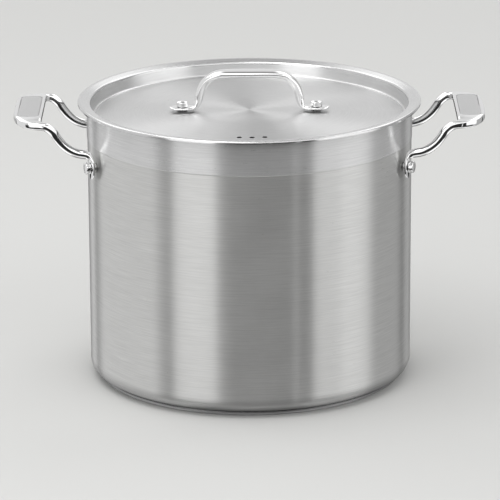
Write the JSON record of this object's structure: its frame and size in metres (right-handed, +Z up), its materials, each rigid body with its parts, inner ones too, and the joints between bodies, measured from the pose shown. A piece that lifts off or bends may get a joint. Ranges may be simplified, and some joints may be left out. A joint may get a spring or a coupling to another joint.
{
  "type": "stock pot",
  "caption": "Tall straight-sided stainless steel stock pot with looped side handles, a flat recessed lift-off lid with a strap handle, and an encapsulated base.",
  "frame": {"origin": "centre of the base's underside, on the surface the pot stands on", "axes": "+Z up along the pot's axis; the side handles lie along X; the lid's vent holes face -Y"},
  "size_m": [0.3748, 0.274, 0.2493],
  "materials": {
    "body_steel": "satin, brushed round the wall",
    "base_steel": "satin, turned",
    "core_aluminium": "plain",
    "handle_steel": "mirror polished cast steel",
    "inlay_steel": "matt, bead blasted",
    "rivet_steel": "polished",
    "spacer_steel": "satin",
    "lid_steel": "satin, brushed in circles"
  },
  "bodies": {
    "pot": {"pot_body": "body_steel", "base_cap": "base_steel", "base_core": "core_aluminium", "handle_right": "handle_steel", "handle_left": "handle_steel", "grip_inlay_right": "inlay_steel", "grip_inlay_left": "inlay_steel", "handle_rivet_right_front": "rivet_steel", "handle_rivet_right_rear": "rivet_steel", "handle_rivet_left_front": "rivet_steel", "handle_rivet_left_rear": "rivet_steel", "handle_spacer_right_front": "spacer_steel", "handle_spacer_right_rear": "spacer_steel", "handle_spacer_left_front": "spacer_steel", "handle_spacer_left_rear": "spacer_steel"},
    "lid": {"lid": "lid_steel", "lid_handle": "handle_steel", "lid_rivet_right": "rivet_steel", "lid_rivet_left": "rivet_steel", "lid_spacer_right": "spacer_steel", "lid_spacer_left": "spacer_steel"}
  },
  "joints": [
    {"name": "lid_lift", "type": "slide", "parent": "pot", "child": "lid", "axis": [0, 0, 1], "range_m": [0, 0.12]}
  ]
}
